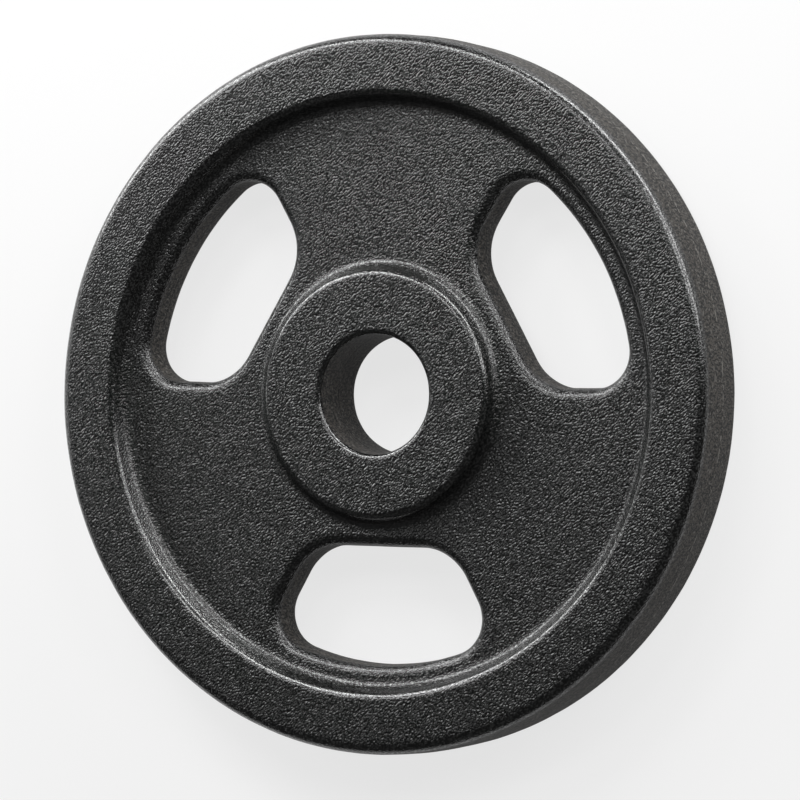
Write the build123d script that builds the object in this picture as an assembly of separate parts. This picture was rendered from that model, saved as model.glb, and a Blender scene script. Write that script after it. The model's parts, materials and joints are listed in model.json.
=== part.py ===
from build123d import *
import os
from math import radians, tan

# A cast-iron weight plate in one piece: a thick rim and a raised hub round the
# bore, joined by a thinner web with three grip holes. It lies on its back face,
# with the axis along +Z and one grip hole towards -Y. Both faces are alike, as
# the plate is cast in two half moulds that part at mid-thickness.

# Overall size, in millimetres
outer_d = 305.0
thickness = 34.0
bore_d = 50.5

# Web between hub and rim, set in from both faces
web_t = 20.0

# Hub and rim: diameters where their walls would meet the face, were the edges
# sharp, and the draft of each wall from the axis in degrees
hub_d = 103.8
hub_draft = 25.0
rim_inner_d = 254.0
rim_inner_draft = 30.0
rim_outer_draft = 2.0

# Rounded edges, and the fillets at the foot of each wall
outer_edge_r = 5.0
rim_lip_r = 3.8
rim_foot_r = 4.6
hub_edge_r = 3.5
hub_foot_r = 5.0
bore_lip_r = 2.5

# Grip holes: rounded trapezoids that widen outwards, their outer side on a
# circle about the bore. Sizes are taken at mid-thickness, where the two halves
# of each wall meet.
grip_count = 3
grip_first_angle = 30.0
grip_inner = 64.6
grip_inner_half_width = 33.0
grip_side_slope = 29.0
grip_outer_r = 114.3
grip_inner_corner_r = 24.0
grip_outer_corner_r = 15.0
grip_draft = 3.0
grip_lip_r = 5.0

# Sizes that follow from those above
middle = thickness / 2
web_front = middle + web_t / 2
recess = thickness - web_front


def front_corners():
    """Corners of the front half of the section, with the radius each is rounded to."""
    hub_r = hub_d / 2
    rim_r = rim_inner_d / 2
    outer_r = outer_d / 2 - middle * tan(radians(rim_outer_draft))
    hub_foot = hub_r + recess * tan(radians(hub_draft))
    rim_foot = rim_r - recess * tan(radians(rim_inner_draft))
    return [
        ((bore_d / 2, thickness), bore_lip_r),
        ((hub_r, thickness), hub_edge_r),
        ((hub_foot, web_front), hub_foot_r),
        ((rim_foot, web_front), rim_foot_r),
        ((rim_r, thickness), rim_lip_r),
        ((outer_r, thickness), outer_edge_r),
    ]


def turned_body():
    """Hub, web and rim as one section turned about the axis of the bore."""
    front = front_corners()
    back = [((r, thickness - z), radius) for (r, z), radius in reversed(front)]
    parting = (outer_d / 2, middle)
    outline = [corner for corner, radius in front] + [parting] + [corner for corner, radius in back]
    with BuildPart() as body:
        with BuildSketch(Plane.XZ) as section:
            with BuildLine():
                Polyline(*outline, close=True)
            make_face()
            for corner, radius in front + back:
                fillet(section.vertices().sort_by_distance(corner)[0], radius)
        revolve(axis=Axis.Z)
    return body.part


def grip_outline():
    """One grip hole at mid-thickness, its middle line along +X."""
    outer_half_width = grip_inner_half_width + (grip_outer_r - grip_inner) * tan(radians(grip_side_slope))
    sides = [
        (grip_inner, -grip_inner_half_width),
        (grip_outer_r, -outer_half_width),
        (grip_outer_r, outer_half_width),
        (grip_inner, grip_inner_half_width),
    ]
    with BuildSketch() as outline:
        Circle(grip_outer_r)
        Polygon(*sides, align=None, mode=Mode.INTERSECT)
        fillet(outline.vertices().group_by(Axis.X)[0], grip_inner_corner_r)
        fillet(outline.vertices().group_by(Axis.X)[-1], grip_outer_corner_r)
    return outline.sketch


def weight_plate():
    """The turned body, with the grip holes cut through and their lips rounded over."""
    with BuildPart() as plate:
        add(turned_body())
        with BuildSketch(Plane.XY.offset(middle)):
            with PolarLocations(0, grip_count, start_angle=grip_first_angle):
                add(grip_outline())
        extrude(amount=middle, both=True, taper=-grip_draft, mode=Mode.SUBTRACT)
        levels = plate.faces().filter_by(Plane.XY).group_by(Axis.Z)
        lips = []
        for web_face in (levels[1][0], levels[-2][0]):
            for wire in web_face.inner_wires():
                if len(wire.edges()) > 1:
                    lips += wire.edges()
        fillet(lips, grip_lip_r)
    return plate.part


os.makedirs("parts", exist_ok=True)
export_step(weight_plate(), "parts/weight_plate.step")
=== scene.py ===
# %% [markdown]
# # A cast-iron weight plate
# The real object is one grey-iron casting: a heavy rim, a raised hub round the bore and a thinner web
# with three grip holes. A black textured coat covers it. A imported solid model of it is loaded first,
# and its diameter, thickness and bore are read from it. The other sizes are written out below, as on
# a drawing. The finished plate keeps to the solid's box, but for the tenth of a millimetre by which
# its skin swells.

# %% Load the solid model
import json
import math
import bpy
import bmesh
import numpy as np
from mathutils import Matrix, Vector


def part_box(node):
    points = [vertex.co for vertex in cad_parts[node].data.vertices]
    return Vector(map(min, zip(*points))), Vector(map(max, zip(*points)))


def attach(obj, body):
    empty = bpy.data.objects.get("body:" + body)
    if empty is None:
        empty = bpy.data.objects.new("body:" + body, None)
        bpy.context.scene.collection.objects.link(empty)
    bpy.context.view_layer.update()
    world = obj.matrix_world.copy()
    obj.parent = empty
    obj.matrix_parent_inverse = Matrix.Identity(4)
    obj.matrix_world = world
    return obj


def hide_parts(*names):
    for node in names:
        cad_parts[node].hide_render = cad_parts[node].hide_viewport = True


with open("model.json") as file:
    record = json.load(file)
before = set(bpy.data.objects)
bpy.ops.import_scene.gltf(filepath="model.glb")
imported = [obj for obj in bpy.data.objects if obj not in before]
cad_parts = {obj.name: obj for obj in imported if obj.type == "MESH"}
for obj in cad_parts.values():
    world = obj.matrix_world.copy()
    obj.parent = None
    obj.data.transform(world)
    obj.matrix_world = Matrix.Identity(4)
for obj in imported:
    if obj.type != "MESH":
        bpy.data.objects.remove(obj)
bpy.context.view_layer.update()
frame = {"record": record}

MM = 0.001
low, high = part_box("weight_plate")
outer_r = (high.x - low.x) / 2 / MM
thickness = (high.z - low.z) / MM
bore_r = next(m["dims"]["r_mm"] for m in frame["record"]["mounts"] if m["name"] == "bore")
print(f"plate {2 * outer_r:.1f} mm across, {thickness:.1f} mm thick, bore {2 * bore_r:.1f} mm")

# %% [markdown]
# ## The camera
# The camera comes before the object, so that every later look is taken from the same place. The
# plate lies flat, and the picture shows its face turned about 26 degrees, with the right side wall in
# view. A long lens two metres away keeps the far edge almost as wide as the near one, so the camera
# stands to the right of the plate and looks down on it through a long lens.

# %% Place the camera
camera_place = (0.9697, 0.0001, 1.9676)
camera_turn = [math.radians(a) for a in (0.417, 26.330, 1.085)]
lens_mm = 231.1

camera = bpy.data.objects.new("camera", bpy.data.cameras.new("camera"))
camera.location = camera_place
camera.rotation_euler = camera_turn
camera.data.lens = lens_mm
bpy.context.scene.collection.objects.link(camera)
bpy.context.scene.camera = camera
print("camera", [round(v, 3) for v in camera.location], "lens", lens_mm)

# %% [markdown]
# ## A short way to write nodes
# Node trees can be drawn by hand or built in a script. In a script, a sum of two values is easier to
# read as `a + b` than as a Math node with two links. The small class below wraps an output socket, so
# that an expression adds its Math nodes by itself. Every other node comes from one method that takes
# the node's type, its settings and its sockets. The same two classes serve shapes and materials.

# %% Wire and Graph
class Wire:
    """An output socket. Sums, products and powers of wires and numbers add Math nodes."""

    def __init__(self, graph, socket):
        self.graph = graph
        self.socket = socket

    def math(self, operation, *others):
        values = dict(enumerate((self,) + others))
        return self.graph.add("ShaderNodeMath", {"operation": operation}, values)

    def __add__(self, other):
        return self.math("ADD", other)

    def __sub__(self, other):
        return self.math("SUBTRACT", other)

    def __rsub__(self, other):
        return (self * -1.0) + other

    def __mul__(self, other):
        return self.math("MULTIPLY", other)

    def __truediv__(self, other):
        return self.math("DIVIDE", other)

    def __rtruediv__(self, other):
        return (self ** -1.0) * other

    def __pow__(self, other):
        return self.math("POWER", other)

    __radd__ = __add__
    __rmul__ = __mul__


class Graph:
    """A node tree that is built in code."""

    def __init__(self, tree):
        self.tree = tree

    def add(self, kind, settings=None, sockets=None, out=0):
        """Adds one node: settings first, then values or wires by socket name or number.

        It gives back the wire of one output, or of several where out is a tuple."""
        node = self.tree.nodes.new(kind)
        for name, value in (settings or {}).items():
            setattr(node, name, value)
        for name, value in (sockets or {}).items():
            for one in value if isinstance(value, list) else [value]:
                socket = node.inputs[name]
                if isinstance(one, Wire):
                    self.tree.links.new(one.socket, socket)
                else:
                    socket.default_value = one
        if isinstance(out, tuple):
            return [Wire(self, node.outputs[one]) for one in out]
        return Wire(self, node.outputs[out])

    def ramp(self, value, start, end):
        """Rises softly from 0 to 1 while the value goes from start to end."""
        return self.add("ShaderNodeMapRange", {"interpolation_type": "SMOOTHSTEP"},
                        {"Value": value, "From Min": start, "From Max": end})

    def blend(self, share, first, second):
        """A colour that goes from the first to the second by this share."""
        colours = [c if isinstance(c, Wire) else (*c, 1.0) for c in (first, second)]
        return self.add("ShaderNodeMix", {"data_type": "RGBA"},
                        {"Factor": share, 6: colours[0], 7: colours[1]}, out=2)


# %% [markdown]
# ## Sections of the hub and the rim
# On the real pattern, the hub and the rim are turned on a lathe: one section, spun about the bore. The
# walls lean, which is called draft, so that the pattern leaves the sand, and every edge is rounded.
# The section is written as its sharp corners, each with the radius that rounds it, because those are
# the numbers on a drawing. Both faces are alike, so the back is the front mirrored about
# mid-thickness, where the two half moulds part. The hub's corners are then put in reverse order, so
# that its faces turn outwards like the rim's.

# %% Corner points of both sections, in millimetres
middle = thickness / 2
web_half = 10.0
web_front = middle + web_half
recess = thickness - web_front
hub_r = 51.9
hub_draft = 25.0
hub_edge_round = 3.5
hub_foot_round = 5.0
bore_round = 2.5
rim_inner_r = 127.0
rim_inner_draft = 30.0
rim_lip_round = 3.8
rim_foot_round = 4.6
rim_outer_draft = 2.0
outer_edge_round = 5.0
hub_seam = 58.4
rim_seam = 119.75


def lean(height, degrees):
    """How far a wall of this height leans out."""
    return height * math.tan(math.radians(degrees))


def both_faces(front):
    """The front corners followed by their mirror images, back to the start."""
    back = [(r, thickness - z, rounding) for r, z, rounding in reversed(front)]
    return front + [corner for corner in back if corner[1] < middle]


hub_corners = both_faces([
    (hub_seam, web_front, 0.0),
    (hub_r + lean(recess, hub_draft), web_front, hub_foot_round),
    (hub_r, thickness, hub_edge_round),
    (bore_r, thickness, bore_round),
])[::-1]
rim_corners = both_faces([
    (rim_seam, web_front, 0.0),
    (rim_inner_r - lean(recess, rim_inner_draft), web_front, rim_foot_round),
    (rim_inner_r, thickness, rim_lip_round),
    (outer_r - lean(middle, rim_outer_draft), thickness, outer_edge_round),
    (outer_r, middle, 0.0),
])
print(len(hub_corners), "corners in the hub's section,", len(rim_corners), "in the rim's")


# %% Draw a section as a curve
rail_r = 10.0


def section_curve(name, corners):
    """A poly curve that Curve to Mesh can spin: x runs outwards from the rail, y downwards."""
    curve = bpy.data.curves.new(name, "CURVE")
    curve.dimensions = "3D"
    spline = curve.splines.new("POLY")
    spline.points.add(len(corners) - 1)
    for point, (r, z, rounding) in zip(spline.points, corners):
        point.co = ((r - rail_r) * MM, -z * MM, 0.0, 1.0)
        point.radius = rounding * MM
    return bpy.data.objects.new(name, curve)


hub_section = section_curve("hub_section", hub_corners)
rim_section = section_curve("rim_section", rim_corners)

# %% [markdown]
# ## One third of the web, with its grip hole
# The three grip holes are alike, so only one third of the web is shaped, and the nodes repeat it. The
# hole is a rounded trapezoid whose outer side follows the rim. A boolean cut would leave a ragged
# edge, so the mesh is woven round the hole instead: rings of faces run from the border of the third
# to the hole, over the rounded lip and down the drafted wall to the back. Each ring has as many
# points as the hub and the rim have there, so that the parts join without a gap.

# %% The outline of a grip hole
grip_inner = 64.6
grip_half_width = 33.0
grip_slope = 29.0
grip_outer_r = 114.3
grip_inner_corner = 24.0
grip_outer_corner = 15.0
grip_draft = 3.0
grip_lip = 5.0


def grip_pieces():
    """Arcs of half the outline, from the inner side to the outer, as (centre, radius, from, to)."""
    slope = math.radians(grip_slope)
    along = np.array([math.cos(slope), math.sin(slope)])
    inward = np.array([math.sin(slope), -math.cos(slope)])
    start = np.array([grip_inner, grip_half_width])
    inner_v = start[1] - grip_inner_corner * math.tan((math.pi / 2 - slope) / 2)
    inner = np.array([grip_inner + grip_inner_corner, inner_v])
    # the outer corner's centre is one corner radius inside both the slanted side and the outer arc
    base = start + inward * grip_outer_corner
    reach = grip_outer_r - grip_outer_corner
    b = float(base @ along)
    outer = base + along * (-b + math.sqrt(b * b - float(base @ base) + reach * reach))
    turn = math.atan2(outer[1], outer[0])
    side = math.atan2(-inward[1], -inward[0])
    return [(inner, grip_inner_corner, math.pi, side), (outer, grip_outer_corner, side, turn),
            (np.zeros(2), grip_outer_r, turn, 0.0)]


def grip_outline(step=0.25):
    """Points round the whole outline, one every step, with their outward normals."""
    arcs = []
    for centre, radius, a0, a1 in grip_pieces():
        a = np.linspace(a0, a1, max(int(abs(a1 - a0) * radius / step), 2))
        normal = np.stack([np.cos(a), np.sin(a)], 1)
        arcs.append(np.hstack([centre + radius * normal, normal]))
    half = np.concatenate(arcs)
    whole = np.concatenate([half, half[-2::-1] * [1, -1, 1, -1], half[:1]])
    along = np.concatenate([[0.0], np.cumsum(np.hypot(*np.diff(whole[:, :2], axis=0).T))])
    places = np.arange(0.0, along[-1], step)
    even = np.stack([np.interp(places, along, column) for column in whole.T], 1)
    return even[:, :2], even[:, 2:]


outline, outward = grip_outline()
print(f"grip hole {np.ptp(outline[:, 0]):.1f} x {np.ptp(outline[:, 1]):.1f} mm at mid-thickness")

# %% [markdown]
# To weave the rings, every point of the border needs a partner on the hole. Straight rays from the
# middle of the hole would cut across the round hub. In polar coordinates about the bore, the third is
# a plain rectangle, where such rays never leave it, so partners and rings are worked out there.

# %% Partners on the outline
grip_middle = (grip_inner + grip_outer_r) / 2


def polar(points):
    """Turn about the bore, as a length at the hole's middle, and distance from the bore."""
    return np.stack([np.arctan2(points[:, 1], points[:, 0]) * grip_middle,
                     np.hypot(points[:, 0], points[:, 1])], 1)


def flat(places):
    """The way back from polar places to points."""
    turn = places[:, 0] / grip_middle
    return np.stack([places[:, 1] * np.cos(turn), places[:, 1] * np.sin(turn)], 1)


def bearing(places):
    """Direction of polar places, seen from the middle of the hole."""
    return np.arctan2(places[:, 1] - grip_middle, places[:, 0])


def partners(places):
    """The outline's points and normals in the directions of these polar places."""
    seen = bearing(polar(outline))
    order = np.argsort(seen)
    known = np.hstack([outline, outward])[order]
    found = np.stack([np.interp(bearing(places), seen[order], column, period=math.tau)
                      for column in known.T], 1)
    return found[:, :2], found[:, 2:] / np.linalg.norm(found[:, 2:], axis=1)[:, None]


# %% The border of the third, point by point
rim_steps = 360
hub_steps = 180
spoke_steps = 28
half_turn = math.radians(60)


def stretch(start, end, steps):
    """Polar places from start towards end, which belongs to the next stretch."""
    t = np.linspace(0.0, 1.0, steps + 1)[:-1, None]
    return np.array(start) * (1 - t) + np.array(end) * t


def border():
    """The closed border of the third: rim side, down one spoke line, hub side, up the other."""
    side = half_turn * grip_middle
    corners = [(-side, rim_seam), (side, rim_seam), (side, hub_seam), (-side, hub_seam)]
    steps = [rim_steps // 3, spoke_steps, hub_steps // 3, spoke_steps]
    ends = corners[1:] + corners[:1]
    return np.concatenate([stretch(*three) for three in zip(corners, ends, steps)])


edge_places = border()
print(len(edge_places), "points round the border of one third")

# %% The hole's wall and lip in section
web_rows = 12
lip_rows = 7
wall_rows = 4


def lip_section():
    """Offsets from the outline and heights, from the front web over the lip to mid-thickness."""
    draft = math.radians(grip_draft)
    centre_z = web_front - grip_lip
    centre = (lean(centre_z - middle, grip_draft) + grip_lip / math.cos(draft), centre_z)
    rows = []
    for a in np.linspace(math.pi / 2, math.pi - draft, lip_rows + 1):
        rows.append((centre[0] + grip_lip * math.cos(a), centre[1] + grip_lip * math.sin(a)))
    last = rows[-1]
    for i in range(1, wall_rows + 1):
        rows.append((last[0] * (1 - i / wall_rows), last[1] + (middle - last[1]) * i / wall_rows))
    return rows


lip = lip_section()
print(f"lip reaches {lip[0][0]:.2f} mm from the wall, {lip[0][1]:.2f} mm above the floor")


# %% Weave the third
def weave_third():
    """The third's mesh: rings of points from the front border round the lip to the back border."""
    base, normals = partners(edge_places)
    shore = polar(base + normals * lip[0][0])
    rings = []
    for t in np.linspace(0.0, 1.0, web_rows + 1):
        ring = flat(edge_places * (1 - t) + shore * t)
        rings.append(np.column_stack([ring, np.full(len(ring), web_front)]))
    for offset, z in lip[1:]:
        rings.append(np.column_stack([base + normals * offset, np.full(len(base), z)]))
    for ring in reversed(rings[:-1]):
        rings.append(ring * np.array([1.0, 1.0, -1.0]) + np.array([0.0, 0.0, thickness]))
    count = len(edge_places)
    faces = []
    for row in range(len(rings) - 1):
        for i in range(count):
            j = (i + 1) % count
            a, b = row * count, (row + 1) * count
            faces.append((a + i, a + j, b + j, b + i))
    mesh = bpy.data.meshes.new("web_third")
    mesh.from_pydata(np.concatenate(rings) * MM, [], faces)
    return bpy.data.objects.new("web_third", mesh)


web_third = weave_third()
print(len(web_third.data.polygons), "faces in one third of the web")

# %% [markdown]
# ## Cast the plate
# Geometry Nodes put the casting together, because it follows a rule: two sections spun round the
# bore, and one third repeated three times. Fillet Curve rounds the corners of a section by each
# point's own radius, and Curve to Mesh spins it round a circle. Iron never fills a sand mould quite
# evenly, so two soft noises then move the skin by about a tenth of a millimetre. The sizes are inputs
# of the tree, so they can be tried out by hand. Before the skin moves, the tree also stores two masks
# from the direction of each face, which the coat reads later: `wall` is 1 on the steep walls, and
# `rounding` is 1 wherever the surface isn't flat, on the roundings and the walls alike.

# %% Build the tree
weld = 0.002 * MM

# the upright part of a face's direction, where each mask starts and where it is full
masks = {"wall": (0.45, 0.12), "rounding": (0.995, 0.93)}


def casting_tree():
    """The node tree of the plate, and the identifiers of its inputs by name."""
    tree = bpy.data.node_groups.new("casting", "GeometryNodeTree")
    graph = Graph(tree)
    sockets = tree.interface
    for name, kind in (("Hub section", "Object"), ("Rim section", "Object"), ("Web third", "Object"),
                       ("Hub steps", "Int"), ("Rim steps", "Int"), ("Rail", "Float"),
                       ("Round steps", "Int"), ("Row width", "Float"), ("Grips", "Int"),
                       ("First grip", "Float"), ("Wave depth", "Float"), ("Wave size", "Float"),
                       ("Lump depth", "Float"), ("Lump size", "Float"), ("Seed", "Float"),
                       ("Coat", "Material")):
        sockets.new_socket(name, in_out="INPUT", socket_type="NodeSocket" + kind)
    sockets.new_socket("Geometry", in_out="OUTPUT", socket_type="NodeSocketGeometry")
    group = tree.nodes.new("NodeGroupInput")
    given = {s.name: Wire(graph, s) for s in group.outputs if s.name}
    position = graph.add("GeometryNodeInputPosition")

    def turned(section, steps):
        """A section with its corners rounded and its long stretches divided, spun round the bore."""
        line = graph.add("GeometryNodeObjectInfo", {}, {"Object": given[section]}, out="Geometry")
        line = graph.add("GeometryNodeFilletCurve", {"mode": "POLY"}, {
            "Curve": line, "Count": given["Round steps"], "Radius": graph.add("GeometryNodeInputRadius")})
        after = graph.add("GeometryNodeOffsetPointInCurve", {}, {"Offset": 1}, out="Point Index")
        there = graph.add("GeometryNodeFieldAtIndex", {"data_type": "FLOAT_VECTOR"},
                          {"Value": position, "Index": after})
        gap = graph.add("ShaderNodeVectorMath", {"operation": "DISTANCE"}, {0: position, 1: there},
                        out="Value")
        cuts = (gap / given["Row width"]).math("FLOOR")
        line = graph.add("GeometryNodeSubdivideCurve", {}, {"Curve": line, "Cuts": cuts})
        rail = graph.add("GeometryNodeCurvePrimitiveCircle", {},
                         {"Resolution": given[steps], "Radius": given["Rail"]})
        return graph.add("GeometryNodeCurveToMesh", {}, {"Curve": rail, "Profile Curve": line})

    turn = graph.add("GeometryNodeInputIndex") * math.tau / given["Grips"] + given["First grip"]
    third = graph.add("GeometryNodeObjectInfo", {}, {"Object": given["Web third"]}, out="Geometry")
    web = graph.add("GeometryNodeInstanceOnPoints", {}, {
        "Points": graph.add("GeometryNodePoints", {}, {"Count": given["Grips"]}),
        "Instance": third, "Rotation": graph.add("ShaderNodeCombineXYZ", {}, {"Z": turn})})
    web = graph.add("GeometryNodeRealizeInstances", {}, {"Geometry": web})
    parts = [turned("Hub section", "Hub steps"), turned("Rim section", "Rim steps"), web]
    plate = graph.add("GeometryNodeJoinGeometry", {}, {"Geometry": parts})
    plate = graph.add("GeometryNodeMergeByDistance", {}, {"Geometry": plate, "Distance": weld})

    normal = graph.add("GeometryNodeInputNormal")
    upright = graph.add("ShaderNodeSeparateXYZ", {}, {"Vector": normal}, out="Z").math("ABSOLUTE")
    for name, (start, end) in masks.items():
        plate = graph.add("GeometryNodeStoreNamedAttribute", {"data_type": "FLOAT", "domain": "POINT"},
                          {"Geometry": plate, "Name": name, "Value": graph.ramp(upright, start, end)})

    def swell(size, depth, seed_shift):
        """A soft noise of this size, as a height above or below the skin."""
        seed = given["Seed"] + seed_shift
        noise = graph.add("ShaderNodeTexNoise", {"noise_dimensions": "4D"}, {
            "Vector": position, "W": seed, "Scale": 1.0 / given[size], "Detail": 1.0})
        return (noise - 0.5) * 2.0 * given[depth]

    height = swell("Wave size", "Wave depth", 0.0) + swell("Lump size", "Lump depth", 9.0)
    shift = graph.add("ShaderNodeVectorMath", {"operation": "SCALE"}, {0: normal, "Scale": height})
    plate = graph.add("GeometryNodeSetPosition", {}, {"Geometry": plate, "Offset": shift})
    plate = graph.add("GeometryNodeSetShadeSmooth", {}, {"Geometry": plate})
    plate = graph.add("GeometryNodeRealizeInstances", {}, {"Geometry": plate})
    plate = graph.add("GeometryNodeSetMaterial", {}, {"Geometry": plate, "Material": given["Coat"]})
    result = tree.nodes.new("NodeGroupOutput")
    tree.links.new(plate.socket, result.inputs["Geometry"])
    return tree, {s.name: s.identifier for s in sockets.items_tree if s.in_out == "INPUT"}


casting, casting_input = casting_tree()
print(len(casting.nodes), "nodes in the casting's tree")

# %% [markdown]
# ## The coat
# Such plates are sprayed or dipped in black and then baked. The film is thin, so the rough skin that
# the sand left on the iron shows through it as a fine grain. The coat isn't alike everywhere: edges
# are rubbed, walls are matt, and gas has left a few pits. So its tree starts with what tells where a
# point is: its place, its reach from the bore, its level above or below mid-thickness, and the two
# masks that the casting stores.

# %% Start the coat's tree
coat = bpy.data.materials.new("black_textured_coat")
coat.use_nodes = True
coat.node_tree.nodes.clear()
coat_graph = Graph(coat.node_tree)
place = coat_graph.add("ShaderNodeTexCoord", out="Object")
x, y, z = coat_graph.add("ShaderNodeSeparateXYZ", {}, {"Vector": place}, out=("X", "Y", "Z"))
reach = (x * x + y * y) ** 0.5
level = (z - middle * MM).math("ABSOLUTE")
wall = coat_graph.add("ShaderNodeAttribute", {"attribute_name": "wall"}, out="Fac")
rounding = coat_graph.add("ShaderNodeAttribute", {"attribute_name": "rounding"}, out="Fac")
face = 1.0 - wall
print("masks read by the coat:", ", ".join(masks))

# %% [markdown]
# The grain is far too small to model, so a Bump node shades it from a noise with waves under a
# millimetre long, drawn out a little to one side. The noise has no finer detail on purpose, as the
# cleaning of a render wipes such detail away. A noise is a pattern in space, and a flat face cuts a
# slice through it. Slices along the noise's own grid are stronger at one height than at another, so
# the noise is tilted, which keeps the grain alike on hub, web and rim. The crests of the grain are a
# touch paler than the dips, because they are rubbed most.

# %% Grain of the faces
grain_scale = 1600.0
grain_stretch = 1.6
grain_tilt = math.radians(35)
grain_turn = math.radians(45)
grain_wobble = 0.1
crest_start, crest_full = 0.48, 0.62

grain_place = coat_graph.add("ShaderNodeMapping", {"vector_type": "TEXTURE"}, {
    "Vector": place, "Rotation": (grain_tilt, 0.0, grain_turn), "Scale": (grain_stretch, 1.0, 1.0)})
grain = coat_graph.add("ShaderNodeTexNoise", {}, {
    "Vector": grain_place, "Scale": grain_scale, "Detail": 0.0, "Distortion": grain_wobble})
crest = coat_graph.ramp(grain, crest_start, crest_full)
print(f"waves of the grain {1 / grain_scale / MM:.2f} mm, {grain_stretch} times as long to one side")

# %% [markdown]
# The walls carry less of that grain, but fine streaks and paler specks. A broken crease runs round
# the walls of the holes, where the two half moulds met, and it is painted near-black there as shade.
# The same line runs round the outside, where the plate is knocked most, so there the crease is worn
# away to small pale chips.

# %% Marks of the walls
streak_scale = 1300.0
speck_scale = 800.0
gap_scale = 60.0
dash_scale = 420.0
crease_half = 0.5 * MM


def noise(scale, detail=0.0, squeeze=1.0):
    """A noise with this many waves per metre. A squeeze under 1 draws it out along the axis."""
    vector = coat_graph.add("ShaderNodeMapping", {}, {"Vector": place, "Scale": (1.0, 1.0, squeeze)})
    return coat_graph.add("ShaderNodeTexNoise", {}, {"Vector": vector, "Scale": scale, "Detail": detail})


in_holes = coat_graph.ramp(reach, 130 * MM, 125 * MM)
outside = coat_graph.ramp(reach, 140 * MM, 148 * MM)
streak = noise(streak_scale, squeeze=0.5)
speck = coat_graph.ramp(noise(speck_scale), 0.62, 0.74)
gaps = coat_graph.ramp(noise(gap_scale, detail=2.0), 0.42, 0.50)
# the crease also carries painted shade: below, it colours the hole walls near-black
crease = coat_graph.ramp(level, crease_half, 0.1 * MM) * gaps * in_holes * wall
dashes = coat_graph.ramp(noise(dash_scale), 0.50, 0.58)
chip = coat_graph.ramp(level, crease_half, 0.2 * MM) * dashes * outside
print(f"mould line {2 * crease_half / MM:.1f} mm wide, {middle:.1f} mm above the back")

# %% [markdown]
# Gas in the iron leaves small round pits on the faces. A Voronoi texture divides the face into cells
# with one point each, and a share of them, picked by the random colour of the cell, becomes pits. A
# cluster near the upper edge of the rim and one larger pit on the web get places of their own. Beside
# their dent and rougher film, the pits are painted near-black as shade.

# %% Pits of the faces
cluster_place = (-0.0079, 0.1379)
pit_place = (-0.0887, -0.0275)
pit_r = 0.8 * MM


def pits(cell, share, radius):
    """Round pits of this radius, in this share of the cells of this size."""
    gap, tint = coat_graph.add("ShaderNodeTexVoronoi", {"voronoi_dimensions": "2D"}, {
        "Vector": place, "Scale": 1.0 / cell}, out=("Distance", "Color"))
    pick = coat_graph.add("ShaderNodeSeparateColor", {}, {"Color": tint}, out="Red")
    hollow = coat_graph.ramp(gap, radius / cell, radius / cell * 0.3)
    return hollow * coat_graph.ramp(pick, 1.0 - share, 1.01 - share)


def near(spot, start, end):
    """Rises from 0 to 1 where the distance from a spot on the face falls from start to end."""
    gap = ((x - spot[0]) ** 2.0 + (y - spot[1]) ** 2.0) ** 0.5
    return coat_graph.ramp(gap, start, end)


pit = pits(22 * MM, 0.14, pit_r)
pit = pit + pits(2.4 * MM, 0.6, pit_r) * near(cluster_place, 6 * MM, 3 * MM)
pit = pit + near(pit_place, 0.9 * MM, 0.4 * MM)
pit = pit.math("MINIMUM", 1.0) * face
print("pits near", cluster_place, "and", pit_place)

# %% [markdown]
# The edges of hub and rim are gripped and knocked, so the grain is rubbed flatter there. The same
# mask raises a clear layer later, so it is worked out here. The roundings at the web's level get half
# of it. One height then gathers every mark, and one Bump node turns it into shading.

# %% Edges and relief
web_level_edge = 0.5
wall_grain = 0.4
edge_rub = 0.6
streak_height = 0.2
pit_depth = 0.9
crease_depth = 0.5
relief = 0.52 * MM

high = coat_graph.ramp(level, 12 * MM, 14 * MM)
edge = rounding * (high * (1.0 - web_level_edge) + web_level_edge)
height = grain * (face * (1.0 - wall_grain) + wall_grain) * (1.0 - edge * edge_rub)
height = height + streak * wall * streak_height - pit * pit_depth - crease * crease_depth
bump = coat_graph.add("ShaderNodeBump", {}, {"Height": height, "Distance": relief, "Strength": 1.0})
print(f"a height of 1 counts as {relief / MM:.2f} mm of relief")

# %% [markdown]
# A matt film sends back less light than a shiny one. That strength is the shader's IOR, and it is one
# number for a whole shader, so the faces and the walls get a shader each, and a Mix Shader node joins
# them by the wall mask. The faces have a clear layer, which the shader calls Coat, on the crests along
# the edges, so that an edge glitters there instead of shining in one plain line.

# %% Two finishes, one coat
dip_black = (0.001, 0.001, 0.001)
crest_black = (0.020, 0.0205, 0.020)
# near-black: the walls' own dark, and painted shade in the pits and in the mould crease
black_and_painted_shade = (0.002, 0.002, 0.002)
streak_brown = (0.046, 0.041, 0.0355)
speck_grey = (0.095, 0.090, 0.083)
chip_grey = (0.16, 0.153, 0.14)
roughness = 0.24 - edge * 0.08 + pit * 0.4
clear_layer = edge * (crest * 0.8 + 0.2)

face_colour = coat_graph.blend(crest, dip_black, crest_black)
# painted shade: the pits are coloured near-black
face_colour = coat_graph.blend(pit, face_colour, black_and_painted_shade)
wall_colour = coat_graph.blend(coat_graph.ramp(streak, 0.42, 0.58), black_and_painted_shade, streak_brown)
wall_colour = coat_graph.blend(speck, wall_colour, speck_grey)
wall_colour = coat_graph.blend(chip, wall_colour, chip_grey)
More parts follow.
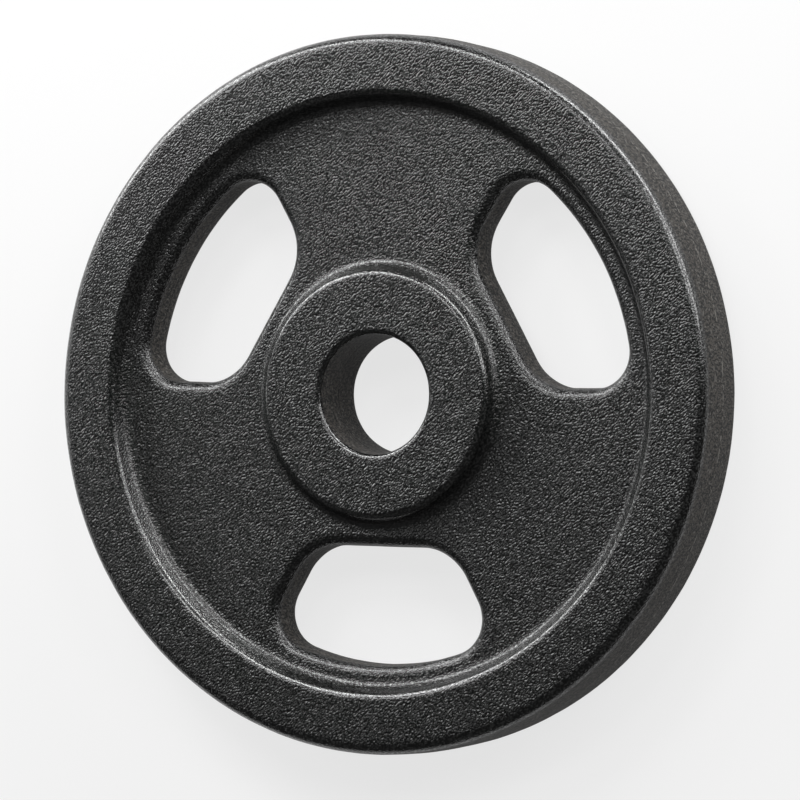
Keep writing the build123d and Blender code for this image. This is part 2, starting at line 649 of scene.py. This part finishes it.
# painted shade: the mould crease in the holes is coloured near-black
wall_colour = coat_graph.blend(crease, wall_colour, black_and_painted_shade)
face_finish = coat_graph.add("ShaderNodeBsdfPrincipled", {}, {
    "Base Color": face_colour, "Roughness": roughness, "Normal": bump, "IOR": 1.58,
    "Coat Weight": clear_layer, "Coat Roughness": 0.15, "Coat IOR": 1.7})
wall_finish = coat_graph.add("ShaderNodeBsdfPrincipled", {}, {
    "Base Color": wall_colour, "Roughness": 0.55, "Normal": bump, "IOR": 1.35})
surface = coat_graph.add("ShaderNodeMixShader", {}, {0: wall, 1: face_finish, 2: wall_finish})
coat_end = coat.node_tree.nodes.new("ShaderNodeOutputMaterial")
coat.node_tree.links.new(surface.socket, coat_end.inputs["Surface"])
print(len(coat.node_tree.nodes), "nodes in the coat's tree")

# %% [markdown]
# With the coat ready, the tree can be run. Its inputs are set by their identifiers, and the modifier
# goes as soon as its result is a plain mesh, as a mesh is what the export and the checks read.

# %% Cast, and turn the result into a plain mesh
casting_values = {
    "Hub section": hub_section, "Rim section": rim_section, "Web third": web_third,
    "Hub steps": hub_steps, "Rim steps": rim_steps, "Rail": rail_r * MM, "Round steps": 7,
    "Row width": 2.4 * MM, "Grips": 3, "First grip": math.radians(30), "Wave depth": 0.16 * MM,
    "Wave size": 34 * MM, "Lump depth": 0.10 * MM, "Lump size": 7 * MM, "Seed": 4.0, "Coat": coat,
}


def cast():
    """Runs the tree on an empty object and keeps the result as a plain mesh."""
    maker = bpy.data.objects.new("casting", bpy.data.meshes.new("casting"))
    bpy.context.scene.collection.objects.link(maker)
    modifier = maker.modifiers.new("casting", "NODES")
    modifier.node_group = casting
    for name, value in casting_values.items():
        modifier[casting_input[name]] = value
    graph = bpy.context.evaluated_depsgraph_get()
    mesh = bpy.data.meshes.new_from_object(maker.evaluated_get(graph), depsgraph=graph)
    bpy.data.objects.remove(maker)
    return mesh


def clean(mesh):
    """Turns every face outwards under one coat, and counts faces, open edges and volume."""
    bm = bmesh.new()
    bm.from_mesh(mesh)
    bmesh.ops.recalc_face_normals(bm, faces=bm.faces)
    for face in bm.faces:
        face.material_index = 0
    loose = sum(len(e.link_faces) != 2 for e in bm.edges)
    volume = bm.calc_volume() / MM ** 3
    triangles = sum(len(f.verts) - 2 for f in bm.faces)
    bm.to_mesh(mesh)
    bm.free()
    mesh.materials.clear()
    mesh.materials.append(coat)
    print(f"{triangles} triangles, {loose} open edges, {volume / 1000:.1f} cm3")


plate_mesh = cast()
clean(plate_mesh)
plate = bpy.data.objects.new("plate_casting", plate_mesh)
bpy.context.scene.collection.objects.link(plate)

# %% [markdown]
# ## Floor and light
# A black object shows little of its own colour. What draws its shape is the light that each rounded
# edge sends back, so the lamps are placed by the edges. The floor is pale, and the camera sees it
# nearly white, because a Light Path node shows camera rays three quarters of plain white and one
# quarter of the matt floor, which keeps the plate's shadow. Reflections get a share of that white as
# well, so that the walls show a pale room and don't turn pitch black.

# %% Lay the floor
floor_half = 4.0
floor_grey = 0.8
floor_white = 0.75
floor_in_gloss = 0.35


def floor_material():
    """A matt pale floor that the camera sees nearly white, and reflections partly so."""
    material = bpy.data.materials.new("pale_floor")
    material.use_nodes = True
    tree = material.node_tree
    tree.nodes.clear()
    graph = Graph(tree)
    camera_ray, glossy_ray, transmission_ray = graph.add(
        "ShaderNodeLightPath", {}, {}, out=("Is Camera Ray", "Is Glossy Ray", "Is Transmission Ray"))
    seen = camera_ray.math("MAXIMUM", transmission_ray) * floor_white + glossy_ray * floor_in_gloss
    matt = graph.add("ShaderNodeBsdfDiffuse", {}, {"Color": (floor_grey, floor_grey, floor_grey, 1.0)})
    glow = graph.add("ShaderNodeEmission", {}, {"Color": (1.0, 1.0, 1.0, 1.0), "Strength": 1.0})
    both = graph.add("ShaderNodeMixShader", {}, {0: seen, 1: matt, 2: glow})
    tree.links.new(both.socket, tree.nodes.new("ShaderNodeOutputMaterial").inputs["Surface"])
    return material


bm = bmesh.new()
bmesh.ops.create_grid(bm, x_segments=1, y_segments=1, size=floor_half)
floor_mesh = bpy.data.meshes.new("floor")
bm.to_mesh(floor_mesh)
bm.free()
floor = bpy.data.objects.new("floor", floor_mesh)
floor.data.materials.append(floor_material())
bpy.context.scene.collection.objects.link(floor)
print(f"floor {2 * floor_half:.0f} m wide, shown {floor_white:.0%} of the way to white")

# %% [markdown]
# A bend in a shiny coat works like a mirror that turns with the edge: the hub's upper edge shows what
# stands behind the plate, and the rim's lower lip shows the same place, as it bends the same way.
# So a lamp's turn about the plate chooses which part of an edge lights up, and its rise how far down
# the bend the bright line lies. Wide soft boxes stand next to each other from the right round the
# back to the left, to light one long stretch of every edge, and none stands in front. Together they
# are as strong as it takes to show a white card about white, and so a black coat as black.

# %% Light it
lamp_distance = 1.1
room_light = 0.03

# name, turn and rise in degrees, width and height in metres, power in watts
lamps = (
    ("low_right", 65, 13, (0.80, 0.26), 6.4),
    ("low_left", 148, 13, (0.60, 0.32), 4.8),
    ("left", 128, 29, (0.50, 0.26), 3.9),
    ("key", 106, 43, (0.50, 0.26), 4.2),
    ("right", 36, 43, (0.45, 0.26), 2.0),
    ("top", 90, 62, (0.30, 0.26), 1.6),
    ("far_left", 165, 50, (0.45, 0.40), 0.8),
    ("far_low_left", 176, 16, (0.40, 0.36), 0.6),
    ("far_right", 29, 21, (0.55, 0.34), 2.7),
)


def softbox(name, turn, rise, size, power):
    """A soft lamp that faces the plate from a turn about +Z and a rise above the floor, in degrees."""
    light = bpy.data.lights.new(name, "AREA")
    light.shape = "RECTANGLE"
    light.size, light.size_y = size
    light.energy = power
    lamp = bpy.data.objects.new(name, light)
    a, e = math.radians(turn), math.radians(rise)
    towards = Vector((math.cos(e) * math.cos(a), math.cos(e) * math.sin(a), math.sin(e)))
    lamp.location = towards * lamp_distance
    lamp.rotation_euler = (-towards).to_track_quat("-Z", "Y").to_euler()
    bpy.context.scene.collection.objects.link(lamp)


for lamp_values in lamps:
    softbox(*lamp_values)
upward = sum(power * math.sin(math.radians(rise)) for name, turn, rise, size, power in lamps)
card = upward / (math.pi * lamp_distance) ** 2 + room_light
print(f"{len(lamps)} lamps, a white card on the floor would show {card:.2f} of white")

# %% [markdown]
# The world stands for the room round the plate. It adds only a little light of its own, because the
# lamps do the lighting. The camera sees it white behind the floor, and reflections see a little of
# that white.

# %% Fill the room
room_in_gloss = 0.05


def world_light():
    """A dim room that the camera sees white."""
    world = bpy.data.worlds.new("studio")
    bpy.context.scene.world = world
    world.use_nodes = True
    tree = world.node_tree
    tree.nodes.clear()
    graph = Graph(tree)
    camera_ray, glossy_ray, transmission_ray = graph.add(
        "ShaderNodeLightPath", {}, {}, out=("Is Camera Ray", "Is Glossy Ray", "Is Transmission Ray"))
    seen = camera_ray.math("MAXIMUM", transmission_ray) + glossy_ray * room_in_gloss
    dim = graph.add("ShaderNodeBackground", {}, {"Color": (1.0, 1.0, 1.0, 1.0), "Strength": room_light})
    white = graph.add("ShaderNodeBackground", {}, {"Color": (1.0, 1.0, 1.0, 1.0), "Strength": 1.0})
    both = graph.add("ShaderNodeMixShader", {}, {0: seen, 1: dim, 2: white})
    tree.links.new(both.socket, tree.nodes.new("ShaderNodeOutputWorld").inputs["Surface"])


world_light()
bpy.context.scene.view_settings.view_transform = "Standard"
print(f"room light {room_light}, view {bpy.context.scene.view_settings.view_transform}")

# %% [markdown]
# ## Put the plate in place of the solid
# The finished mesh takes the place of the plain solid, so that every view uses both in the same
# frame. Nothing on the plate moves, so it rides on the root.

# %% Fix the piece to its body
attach(plate, "root")
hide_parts("weight_plate")
